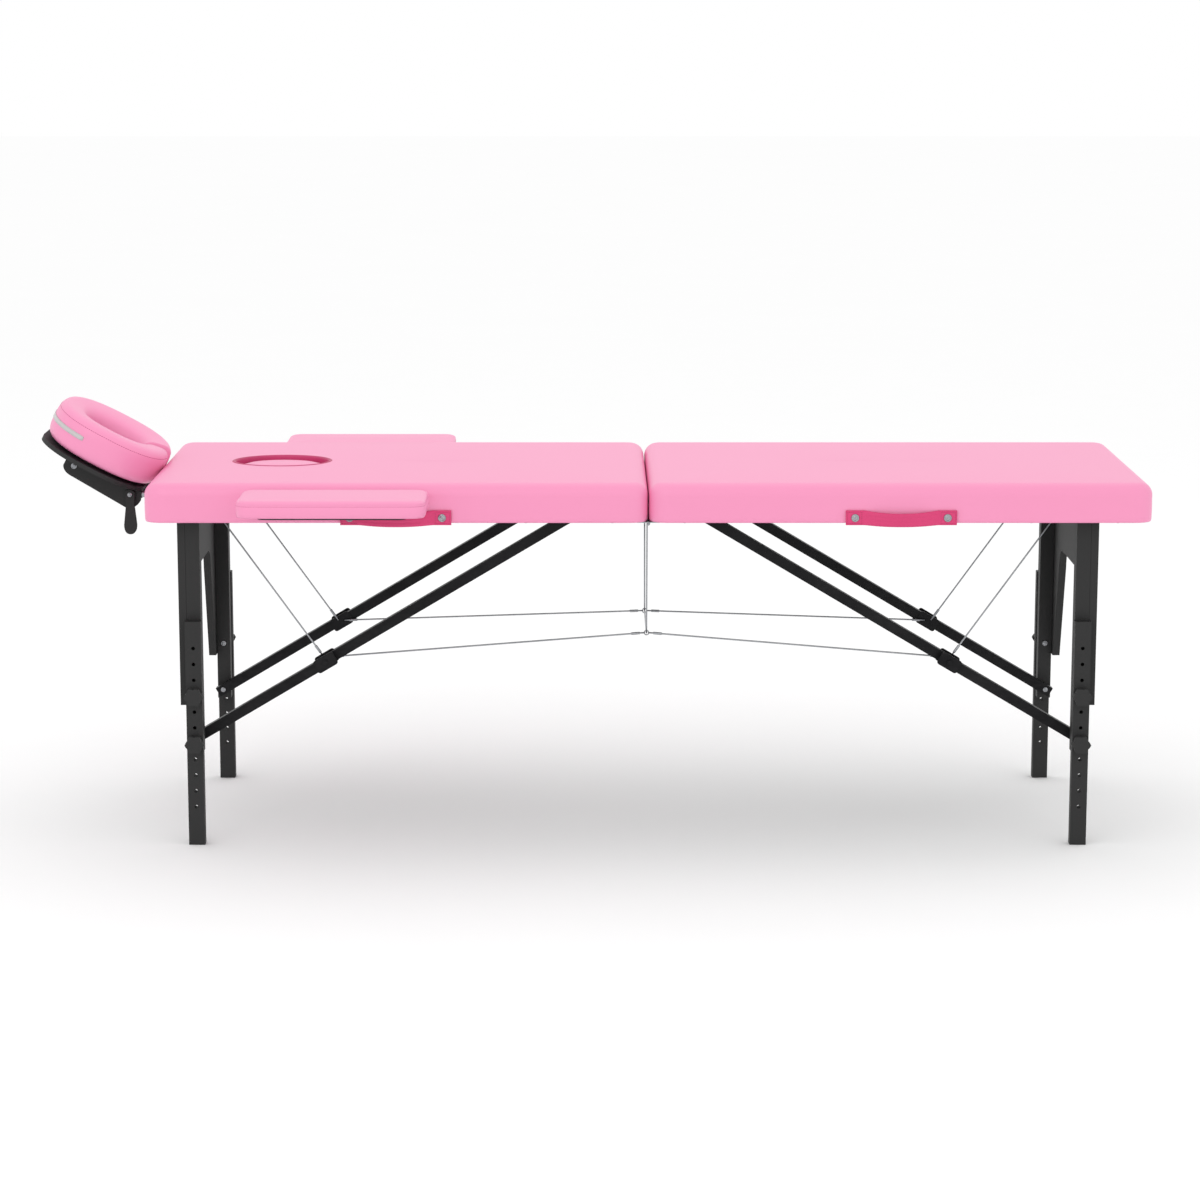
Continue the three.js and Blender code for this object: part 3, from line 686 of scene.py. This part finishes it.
@dataclass
class Section:
    """One padded half of the top, with its deck board, rail frame and strap."""

    end: End
    edge: float = 24 * MM
    corner: float = 34 * MM
    wall: float = 5 * MM
    crown: float = 2.0 * MM
    bulge: float = 1.2 * MM

    @property
    def label(self) -> str:
        """The first word of its nodes' names.

        Returns:
            head or foot.
        """
        return "head" if self.end is End.HEAD else "foot"

    def build(self) -> None:
        """Builds the pad and dresses the boards and the strap."""
        pad = self.pad()
        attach(pad, f"{self.label}_section")
        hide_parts(f"{self.label}_pad")
        dress(f"{self.label}_deck", DECK_BOARD)
        dress(f"{self.label}_frame", BLACK_WOOD)
        self.staples()
        self.strap()

    def pad(self) -> bpy.types.Object:
        """The cover over its foam: soft edges, a low crown and a turned-in hem.

        Returns:
            The pad.
        """
        low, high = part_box(f"{self.label}_pad")
        _, deck_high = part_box(f"{self.label}_deck")
        middle = (low + high) / 2
        half_x, half_y = (high.x - low.x) / 2, (high.y - low.y) / 2
        top = high.z - self.crown
        profile = [(self.wall + 0.2 * MM, deck_high.z + 0.3 * MM), (self.wall + 0.2 * MM, low.z + 3 * MM)]
        profile += [
            (self.wall * 0.8, low.z),
            (self.wall * 0.3, low.z + 0.4 * MM),
            (0.4 * MM, low.z + 4 * MM),
        ]
        wall_top = top - self.edge
        for k in range(1, 6):
            t = k / 6
            profile.append(
                (
                    0.4 * MM * (1 - math.sin(math.pi * t)),
                    low.z + 4 * MM + (wall_top - low.z - 4 * MM) * t,
                ),
            )
        for k in range(0, 11):
            a = math.pi / 2 * k / 10
            profile.append((self.edge * (1 - math.cos(a)), wall_top + self.edge * math.sin(a)))
        reach = min(half_x, half_y)
        for k in range(1, 15):
            t = k / 14
            inset = self.edge + (reach - self.edge - 3 * MM) * t
            profile.append((inset, top + self.crown * math.sin(math.pi / 2 * min(1.0, t * 1.6))))
        rings = []
        for inset, z in profile:
            outline = rounded_outline(half_x - inset, half_y - inset, self.corner - inset, 10, 24)
            rings.append([(middle.x + x, middle.y + y, z + self.ripple(x, y, inset)) for x, y in outline])
        verts, faces = loft(rings)
        made = to_object(f"{self.label}_cushion", verts, faces, PINK_VINYL)
        if self.end is End.HEAD:
            self.cut_face_hole(made)
        return made

    def ripple(self, x: float, y: float, inset: float) -> float:
        """The faint sag and swell of the foam under the cover.

        Args:
            x: Place along the table, from the section's middle.
            y: Place across the table.
            inset: How far in from the outer edge the point lies.

        Returns:
            How far the cover rises there, in metres.
        """
        share = max(0.0, min(1.0, (inset - self.edge * 0.5) / (60 * MM)))
        return -0.5 * MM * share * (1 + math.sin(x * 17.0) * math.cos(y * 13.0 + x * 5.0)) / 2

    def cut_face_hole(self, pad: bpy.types.Object) -> None:
        """Cuts the oval breathing hole through the pad and adds its plug and rolled rim; the rim is a
        darker pink that paints the shade in the hole's recess.

        Args:
            pad: The head cushion.
        """
        low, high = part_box("face_hole_plug")
        middle = (low + high) / 2
        half_x, half_y = (high.x - low.x) / 2 + 1 * MM, (high.y - low.y) / 2 + 1 * MM
        _, pad_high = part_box("head_pad")

        def ring(grow: float, z: float) -> list[Point]:
            """An oval ring, larger than the hole by grow.

            Args:
                grow: How much larger it is.
                z: Its height.

            Returns:
                The ring's points.
            """
            turns = [2 * math.pi * k / 72 for k in range(72)]
            return [
                (
                    middle.x + (half_x + grow) * math.cos(a),
                    (half_y + grow) * math.sin(a),
                    z,
                ) for a in turns
            ]

        cutter = to_object(
            "cutter",
            *loft([ring(2 * MM, low.z - 30 * MM), ring(2 * MM, pad_high.z + 20 * MM)]),
            PINK_VINYL,
        )
        cut = pad.modifiers.new("face_hole", "BOOLEAN")
        cut.operation = "DIFFERENCE"
        cut.solver = "EXACT"
        cut.object = cutter
        bpy.context.view_layer.update()
        graph = bpy.context.evaluated_depsgraph_get()
        cut_mesh = bpy.data.meshes.new_from_object(pad.evaluated_get(graph))
        pad.modifiers.clear()
        pad.data = cut_mesh
        bpy.data.objects.remove(cutter)
        top = pad_high.z
        lip = [ring(2.0 * MM, low.z), ring(0.3 * MM, low.z), ring(0.3 * MM, top - 9 * MM)]
        for k in range(9):
            a = math.pi * k / 8
            lip.append(ring(4.6 * MM - 4.3 * MM * math.cos(a), top - 3.6 * MM + 4.6 * MM * math.sin(a)))
        lip.append(ring(8.9 * MM, top - 9 * MM))
        # The rolled rim takes the darker pink: painted shade for the recess round the plug.
        rim = to_object("face_hole_rim", *loft(lip, closed=True), RECESS_SHADE_PINK_VINYL)
        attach(rim, "head_section")
        plug_rings = []
        height = high.z - low.z
        steps = [(-1.5 * MM, 0.0), (-0.2 * MM, 1.5 * MM), (-0.2 * MM, height - 10 * MM)]
        steps += [
            (
                -0.2 * MM - 9 * MM * (1 - math.cos(a)),
                height - 10 * MM + 7 * MM * math.sin(a),
            ) for a in (0.4, 0.8, 1.2, 1.5)
        ]
        steps += [
            (-24 * MM, height + 1.2 * MM),
            (-45 * MM, height + 2.8 * MM),
            (-64 * MM, height + 3.2 * MM),
        ]
        for grow, z in steps:
            plug_rings.append(ring(grow - 1.2 * MM, low.z + z))
        plug = to_object("breathing_plug", *loft(plug_rings), PINK_VINYL)
        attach(plug, "plug")
        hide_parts("face_hole_plug")

    def staples(self) -> None:
        """Screws that hold the rail frame to the deck, seen from below."""
        low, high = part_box(f"{self.label}_frame")
        inset = 6 * MM
        spots = []
        for k in range(6):
            x = low.x + 60 * MM + (high.x - low.x - 120 * MM) * k / 5
            spots += [(x, low.y + inset, low.z), (x, high.y - inset, low.z)]
        screws = ScrewSet(
            f"{self.label}_frame_screws",
            tuple(spots),
            (math.pi, 0.0, 0.0),
            3.2 * MM,
        ).build()
        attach(screws, f"{self.label}_section")

    def strap(self) -> None:
        """The ribbed carrying strap with its two screws."""
        low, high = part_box(f"{self.label}_carry_handle")
        middle = (low.x + high.x) / 2
        half = (high.x - low.x) / 2
        wide = high.z - low.z
        bow = (high.y - low.y) * 0.55
        face = high.y
        thick = 4 * MM
        hold = half - 34 * MM
        rings = []
        steps = 48
        ribs = 24
        for i in range(steps + 1):
            x = -half + 2 * half * i / steps
            t = max(0.0, 1 - (x / hold) ** 2) if abs(x) < hold else 0.0
            out = bow * t * t * (3 - 2 * t)
            drop = 4.0 * MM * t
            narrow = 1 - 0.10 * t
            section = []
            for k in range(ribs + 1):
                u = -1 + 2 * k / ribs
                relief = 0.55 * MM * abs(math.sin(math.pi * 1.5 * (u + 1))) * min(1.0, t * 3)
                pinch = thick * (1 - 0.35 * abs(u) ** 6) + relief
                section.append(
                    (
                        middle + x,
                        face - 0.3 * MM - out - pinch,
                        low.z + wide / 2 - drop + u * wide / 2 * narrow,
                    ),
                )
            for k in range(ribs, -1, -1):
                u = -1 + 2 * k / ribs
                section.append(
                    (middle + x, face - 0.3 * MM - out, low.z + wide / 2 - drop + u * wide / 2 * narrow),
                )
            rings.append(section)
        made = to_object(f"{self.label}_carry_strap", *loft(rings), STRAP_PINK)
        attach(made, f"{self.label}_section")
        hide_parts(f"{self.label}_carry_handle")
        hole = half - 17 * MM
        z = low.z + wide / 2
        spots = tuple((middle + way * hole, face - thick - 0.2 * MM, z) for way in (-1, 1))
        screws = ScrewSet(f"{self.label}_strap_screws", spots, (math.pi / 2, 0.0, 0.0), 7.5 * MM).build()
        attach(screws, f"{self.label}_section")
        border = []
        for way in (-1, 1):
            near, far = way * (half - 29 * MM), way * (half - 3 * MM)
            loop = [(near, -0.4), (far, -0.4), (far, 0.4), (near, 0.4)]
            border.append(tuple((middle + x, face - thick - 0.5 * MM, z + u * wide) for x, u in loop))
        for way, points in zip(("left", "right"), border):
            run = StitchRun(f"{self.label}_strap_stitches_{way}", points, 3.5 * MM, 0.35 * MM).build()
            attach(run, f"{self.label}_section")


@dataclass
class Armrest:
    """A padded armrest on its hanger."""

    side: Side
    corner: float = 26 * MM
    soft: float = 9 * MM

    def build(self) -> None:
        """Builds the pad with its piped seam and dresses the hanger."""
        label = self.side.name.lower()
        low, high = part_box(f"{label}_armrest_pad")
        middle = (low + high) / 2
        half_x, half_y = (high.x - low.x) / 2, (high.y - low.y) / 2
        seam = high.z - self.soft
        profile = [
            (30 * MM, low.z + 0.4 * MM),
            (8 * MM, low.z + 0.2 * MM),
            (3 * MM, low.z + 1 * MM),
            (1 * MM, low.z + 4 * MM),
        ]
        profile += [
            (0.2 * MM, (low.z + seam) / 2),
            (0.8 * MM, seam - 1.2 * MM),
            (1.7 * MM, seam),
            (1.2 * MM, seam + 1.2 * MM),
        ]
        for k in range(1, 8):
            a = math.pi / 2 * k / 7
            profile.append(
                (
                    1.2 * MM + 13 * MM * (1 - math.cos(a)),
                    seam + 1.2 * MM + (self.soft - 3 * MM) * math.sin(a),
                ),
            )
        for k in range(1, 9):
            t = k / 8
            profile.append(
                (
                    14.2 * MM + (half_y - 17 * MM) * t,
                    high.z - 1.8 * MM + 1.8 * MM * math.sin(math.pi / 2 * t),
                ),
            )
        rings = []
        for inset, z in profile:
            outline = rounded_outline(half_x - inset, half_y - inset, self.corner - inset, 10, 12)
            rings.append([(middle.x + x, middle.y + y, z) for x, y in outline])
        pad = to_object(f"{label}_armrest_cushion", *loft(rings), PINK_VINYL)
        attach(pad, "head_section")
        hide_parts(f"{label}_armrest_pad")
        outline = rounded_outline(half_x - 1.0 * MM, half_y - 1.0 * MM, self.corner - 1 * MM, 10, 12)
        path = tuple((middle.x + x, middle.y + y, seam - 2.6 * MM) for x, y in outline)
        run = StitchRun(f"{label}_armrest_stitches", path, 4.5 * MM, 0.5 * MM).build()
        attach(run, "head_section")
        dress(f"{label}_armrest_hanger", BLACK_PLASTIC)


@dataclass
class FaceCradle:
    """The tilted horseshoe cushion, its plate, carrier and cam lever."""

    tilt: float = 28.0
    long: float = 230 * MM
    wide: float = 284 * MM
    thick: float = 75.6 * MM
    plate: float = 8.4 * MM
    opening_long: float = 116 * MM
    opening_wide: float = 112 * MM
    mouth: float = 13 * MM
    steps: int = 96
    corner: float = 101 * MM
    origin: Vector = field(default_factory=Vector)

    def build(self) -> None:
        """Builds the cushion, its seams and tape, and dresses the hard parts."""
        low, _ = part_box("cradle_cushion")
        angle = math.radians(self.tilt)
        lift = Vector((math.sin(angle), 0.0, math.cos(angle)))
        plate_low, plate_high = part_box("cradle_plate")
        self.origin = Vector((low.x - self.plate * lift.x, 0.0, 0.0))
        inset = 8 * MM
        self.origin.z = plate_high.z - self.plate_rise(angle, inset)
        for node in ("cradle_plate", "cradle_carrier", "cradle_lever"):
            dress(node, BLACK_PLASTIC)
        for node in ("cradle_rod_front", "cradle_rod_back"):
            dress(node, BRIGHT_STEEL)
        cushion = to_object("cradle_pad", *loft(self.sections()), PINK_VINYL)
        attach(cushion, "cradle")
        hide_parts("cradle_cushion")
        self.seams()
        self.tape()
        self.bolts()

    def plate_rise(self, angle: float, inset: float) -> float:
        """How far the plate's highest corner stands over the cradle's origin.

        Args:
            angle: The tilt, in radians.
            inset: How far the plate lies inside the cushion's edge.

        Returns:
            The height, in metres.
        """
        return 8 * MM * math.cos(angle) - inset * math.sin(angle)

    def place(self, x: float, y: float, z: float) -> Point:
        """A point of the tilted cradle in the table's frame.

        Args:
            x: Place along the cradle, from its far edge.
            y: Place across it.
            z: Height over the plate's underside.

        Returns:
            The point in the table's frame.
        """
        angle = math.radians(self.tilt)
        return (
            self.origin.x + x * math.cos(angle) + z * math.sin(angle),
            y,
            self.origin.z - x * math.sin(angle) + z * math.cos(angle),
        )

    def edge_points(self, turn: float) -> tuple[Plan, Plan]:
        """The inner and outer edges of the ring at an angle from the mouth.

        Args:
            turn: The angle, in radians, from the side towards the table.

        Returns:
            The inner point and the outer point.
        """
        half_x, half_y = self.long / 2, self.wide / 2
        power = 2.5
        c, s = math.cos(turn), math.sin(turn)
        reach = (abs(c / half_x) ** power + abs(s / half_y) ** power) ** (-1 / power)
        hole = ((c / (self.opening_long / 2)) ** 2 + (s / (self.opening_wide / 2)) ** 2) ** -0.5
        return (half_x + hole * c, hole * s), (half_x + reach * c, reach * s)

    def section(self, turn: float, scale: float, shift: float) -> list[Point]:
        """One cross-section of the cushion.

        Args:
            turn: Its angle round the ring.
            scale: Its size, less than 1 at the rounded ends.
            shift: How far it moves towards the mouth.

        Returns:
            Its points.
        """
        inner, outer = self.edge_points(turn)
        points = []
        count = 40
        mid = ((inner[0] + outer[0]) / 2, (inner[1] + outer[1]) / 2)
        half = (outer[0] - inner[0]) / 2 * scale, (outer[1] - inner[1]) / 2 * scale
        sense = -1 if math.sin(turn) > 0 else 1
        for k in range(count):
            a = 2 * math.pi * k / count
            c, s = math.cos(a), math.sin(a)
            u = math.copysign(abs(c) ** 0.62, c)
            v = math.copysign(abs(s) ** 0.62, s)
            rise = self.thick / 2 * (1 + v * scale)
            slope = -10 * MM * (1 - u) / 2 * (v + 1) / 2
            x, y = mid[0] + half[0] * u, mid[1] + half[1] * u
            points.append(self.place(x + shift * 0.0, y + sense * shift, self.plate + rise + slope))
        return points

    def sections(self) -> list[list[Point]]:
        """All cross-sections from one side of the mouth round to the other.

        Returns:
            The cross-sections, in order.
        """
        start = math.asin(0.2)
        rings = []
        round_end = ((0.25, 10.5), (0.6, 9.6), (0.82, 7.0), (0.94, 3.5))
        for scale, shift in round_end:
            rings.append(self.section(start, scale, shift * MM * 0.35))
        for i in range(self.steps + 1):
            rings.append(self.section(start + (2 * math.pi - 2 * start) * i / self.steps, 1.0, 0.0))
        for scale, shift in reversed(round_end):
            rings.append(self.section(2 * math.pi - start, scale, shift * MM * 0.35))
        return rings

    def seams(self) -> None:
        """Two stitched seams along the cushion's upper edges."""
        for name, share, height in (("outer", 0.965, 0.80), ("inner", 0.10, 0.72)):
            path = []
            for i in range(120):
                turn = 0.26 + (2 * math.pi - 0.52) * i / 119
                inner, outer = self.edge_points(turn)
                x = inner[0] + (outer[0] - inner[0]) * share
                y = inner[1] + (outer[1] - inner[1]) * share
                path.append(self.place(x, y, self.plate + self.thick * height))
            run = StitchRun(
                f"cradle_{name}_stitches",
                tuple(path),
                4.5 * MM,
                0.5 * MM,
                cyclic=False,
            ).build()
            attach(run, "cradle")

    def tape(self) -> None:
        """The grey closing tape round the far side of the cushion."""
        rings = []
        for i in range(41):
            turn = math.radians(150 + 105 * i / 40)
            _, outer = self.edge_points(turn)
            away = Vector((outer[0] - self.long / 2, outer[1], 0.0)).normalized()
            level = self.plate + self.thick * 0.52
            half = 4.5 * MM * (1 if 0 < i < 40 else 0.8)
            ring = []
            for dz, out in ((-half, 0.1), (-half, 0.9), (half, 0.9), (half, 0.1)):
                ring.append(
                    self.place(outer[0] + away.x * out * MM, outer[1] + away.y * out * MM, level + dz),
                )
            rings.append(ring)
        made = to_object("cradle_closing_tape", *loft(rings), GREY_TAPE)
        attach(made, "cradle")

    def bolts(self) -> None:
        """The pivot and lever bolts on the carrier's front cheek."""
        low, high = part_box("cradle_carrier")
        pivot = self.place(80 * MM, low.y - 0.2 * MM, -20 * MM)
        back = self.place(80 * MM, high.y + 0.2 * MM, -20 * MM)
        front = ScrewSet("cradle_pivot_bolt_front", (pivot,), (math.pi / 2, 0.0, 0.0), 6.0 * MM).build()
        rear = ScrewSet("cradle_pivot_bolt_back", (back,), (-math.pi / 2, 0.0, 0.0), 6.0 * MM).build()
        lever_low, lever_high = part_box("cradle_lever")
        spot = ((lever_low.x + lever_high.x) / 2, lever_low.y - 0.1 * MM, lever_high.z - 9 * MM)
        cam = ScrewSet("cradle_lever_bolt", (spot,), (math.pi / 2, 0.0, 0.0), 4.6 * MM).build()
        for made, body in ((front, "head_section"), (rear, "head_section"), (cam, "lever")):
            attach(made, body)


@dataclass
class LegEnd:
    """A folding leg frame with its braces and knobs."""

    end: End

    def build(self) -> None:
        """Dresses the wood and the knobs and adds bolt heads."""
        label = "head" if self.end is End.HEAD else "foot"
        dress(f"{label}_leg_arch", BLACK_WOOD)
        for side in Side:
            word = f"{label}_{side.name.lower()}"
            dress(f"{word}_upright", BLACK_WOOD)
            dress(f"{word}_leg_extension", BLACK_WOOD)
            dress(f"{word}_lower_brace", BRACE_WOOD)
            dress(f"{word}_upper_brace", BRACE_WOOD)
            for knob in ("clamp_knob", "brace_knob"):
                dress(f"{word}_{knob}", BLACK_PLASTIC)
            self.bolt_heads(word, side, label)

    def bolt_heads(self, word: str, side: Side, label: str) -> None:
        """Bright bolt ends on the inner face of the leg and brace.

        Args:
            word: The end and side, as in the node names.
            side: Which long side it is on.
            label: The end, as in the body names.
        """
        turn = (-math.pi / 2 * side.value * -1, 0.0, 0.0)
        upright_low, upright_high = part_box(f"{word}_upright")
        knob_low, knob_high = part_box(f"{word}_clamp_knob")
        inner = upright_low.y if side is Side.BACK else upright_high.y
        spot = ((knob_low.x + knob_high.x) / 2, inner, (knob_low.z + knob_high.z) / 2)
        made = ScrewSet(f"{word}_clamp_nut", (spot,), turn, 5.5 * MM).build()
        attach(made, f"{label}_leg_frame")
        low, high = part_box(f"{word}_brace_knob")
        brace_low, brace_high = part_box(f"{word}_lower_brace")
        face = brace_low.y if side is Side.BACK else brace_high.y
        spot = ((low.x + high.x) / 2, face, (low.z + high.z) / 2)
        made = ScrewSet(f"{word}_brace_nut", (spot,), turn, 5.0 * MM).build()
        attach(made, f"{label}_lower_braces")


@dataclass
class CableRig:
    """The wire cables that pull the legs open, with their crimped ends."""

    radius: float = 1.5 * MM
    sleeve: float = 2.6 * MM
    sleeve_long: float = 16 * MM

    def build(self) -> None:
        """Builds each stretch between the braces, the sections and the middle."""
        centre_low, centre_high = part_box("centre_cable")
        knot_z = centre_low.z + 1.25 * MM
        middle = (centre_low.x + centre_high.x) / 2
        for end in End:
            label = end.name.lower()
            for side in Side:
                word = f"{label}_{side.name.lower()}"
                low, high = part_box(f"{word}_end_cable")
                y = (low.y + high.y) / 2
                near, far = (low.x, high.x) if end is End.HEAD else (high.x, low.x)
                step = end.value * 1.2 * MM
                top = Vector((near - step, y, high.z - 0.4 * MM))
                foot = Vector((far + step, y, low.z + 0.8 * MM))
                made = self.stretch(f"{word}_end_wire", top, foot)
                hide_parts(f"{word}_end_cable")
                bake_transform(made)
                low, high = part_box(f"{word}_long_cable")
                start = Vector((low.x if end is End.HEAD else high.x, y, low.z + 1.25 * MM))
                spread = (low.y if side is Side.BACK else high.y) + side.value * 1.25 * MM
                knot = Vector((middle + end.value * 3 * MM, spread, knot_z))
                made = self.stretch(f"{word}_long_wire", start, knot)
                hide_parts(f"{word}_long_cable")
                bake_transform(made)
        self.middle_net(middle, knot_z, centre_low, centre_high)

    def stretch(self, name: str, start: Vector, finish: Vector) -> bpy.types.Object:
        """A straight cable with a crimped sleeve near each end.

        Args:
            name: The piece's name.
            start: Its first point.
            finish: Its last point.

        Returns:
            The cable.
        """
        run = finish - start
        path = [start + run * (i / 24) for i in range(25)]
        along = run.normalized()
        parts = [tube(path, self.radius)]
        for base, way in ((start, 1), (finish, -1)):
            a = base + along * way * 10 * MM
            b = a + along * way * self.sleeve_long
            parts.append(tube([a, a + (b - a) * 0.08, a + (b - a) * 0.92, b], self.sleeve, 12))
        return to_object(name, *merge(parts), BRIGHT_STEEL)

    def middle_net(self, middle: float, knot_z: float, low: Vector, high: Vector) -> None:
        """The two hangers and the link between the long cables.

        Args:
            middle: Place of the link along the table.
            knot_z: Height of the knots.
            low: Lowest corner of the cable's box.
            high: Highest corner of the cable's box.
        """
        spread = 115 * MM
        anchors = [
            Vector((middle, low.y + 1.25 * MM, high.z)),
            Vector((middle, high.y - 1.25 * MM, high.z)),
        ]
        knots = [Vector((middle, -spread, knot_z)), Vector((middle, spread, knot_z))]
        parts = []
        for a, b in ((anchors[0], knots[0]), (knots[0], knots[1]), (knots[1], anchors[1])):
            parts.append(tube([a + (b - a) * (i / 12) for i in range(13)], self.radius))
        for knot in knots:
            ring = []
            for k in range(25):
                turn = 2 * math.pi * k / 24
                ring.append(knot + Vector((4.2 * MM * math.cos(turn), 0.0, 4.2 * MM * math.sin(turn))))
            parts.append(tube(ring, 1.1 * MM, 8))
        made = to_object("middle_wire", *merge(parts), BRIGHT_STEEL)
        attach(made, "head_section")
        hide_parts("centre_cable")


@dataclass
class Studio:
    """The pale floor, the lights and the camera."""

    eye: Point = (10 * MM, -6.4, 1.576)
    aim_drop: float = 10.3
    lens: float = 101.3
    side_shift: float = 10 / 1200

    def camera(self) -> None:
        """Makes the camera."""
        data = bpy.data.cameras.new("camera")
        data.lens = self.lens
        data.sensor_width = 36.0
        data.shift_x = self.side_shift
        made = bpy.data.objects.new("camera", data)
        made.location = self.eye
        made.rotation_euler = (math.radians(90 - self.aim_drop), 0.0, 0.0)
        bpy.context.scene.collection.objects.link(made)
        bpy.context.scene.camera = made

    def build(self) -> None:
        """Makes the floor, the world and the soft lights."""
        half = 30.0
        corners = [(-half, -half, 0.0), (half, -half, 0.0), (half, half, 0.0), (-half, half, 0.0)]
        floor_finish = Finish(
            "pale_floor",
            (0.985, 0.985, 0.985),
            (0.98, 0.98, 0.98),
            0.9,
            0.02,
            2.0,
            0.0,
            specular=0.0,
        )
        floor = to_object(
            "floor",
            [(x, y, -0.0005) for x, y, _ in corners],
            [[0, 1, 2, 3]],
            floor_finish,
            smooth=False,
        )
        world = bpy.data.worlds.new("studio")
        world.use_nodes = True
        world.node_tree.nodes["Background"].inputs["Color"].default_value = (1.0, 1.0, 1.0, 1.0)
        world.node_tree.nodes["Background"].inputs["Strength"].default_value = 1.0
        bpy.context.scene.world = world
        self.softbox("key", (-1.4, -3.4, 3.0), 16.0, 2.4)
        self.softbox("fill", (3.0, -2.8, 1.8), 4.0, 3.0)
        self.softbox("top", (0.2, 1.2, 3.6), 10.0, 3.0)
        bpy.context.scene.view_settings.view_transform = "Standard"

    def softbox(self, name: str, place: Point, power: float, size: float) -> None:
        """Adds a square soft light aimed at the table.

        Args:
            name: The light's name.
            place: Where it stands.
            power: Its power, in watts.
            size: The length of its side.
        """
        data = bpy.data.lights.new(name, "AREA")
        data.energy = power
        data.size = size
        made = bpy.data.objects.new(name, data)
        made.location = place
        made.rotation_mode = "QUATERNION"
        made.rotation_quaternion = (Vector((0.0, 0.0, 0.5)) - Vector(place)).to_track_quat("-Z", "Y")
        bpy.context.scene.collection.objects.link(made)


def main() -> None:
    """Builds every sub-assembly in order and logs each one."""
    logging.basicConfig(level=logging.INFO, format="%(message)s")
    studio = Studio()
    studio.camera()
    steps: list[tuple[str, Callable[[], None]]] = [
        ("cables", CableRig().build),
        ("head section", Section(End.HEAD).build),
        ("foot section", Section(End.FOOT).build),
        ("front armrest", Armrest(Side.FRONT).build),
        ("back armrest", Armrest(Side.BACK).build),
        ("face cradle", FaceCradle().build),
        ("head legs", LegEnd(End.HEAD).build),
        ("foot legs", LegEnd(End.FOOT).build),
        ("studio", studio.build),
    ]
    for name, build in steps:
        build()
        LOG.info("built %s", name)
    for node in ("middle_hinge_head_leaf", "middle_hinge_foot_leaf", "middle_hinge_pin"):
        dress(node, BRIGHT_STEEL)


if __name__ == "__main__":
    main()
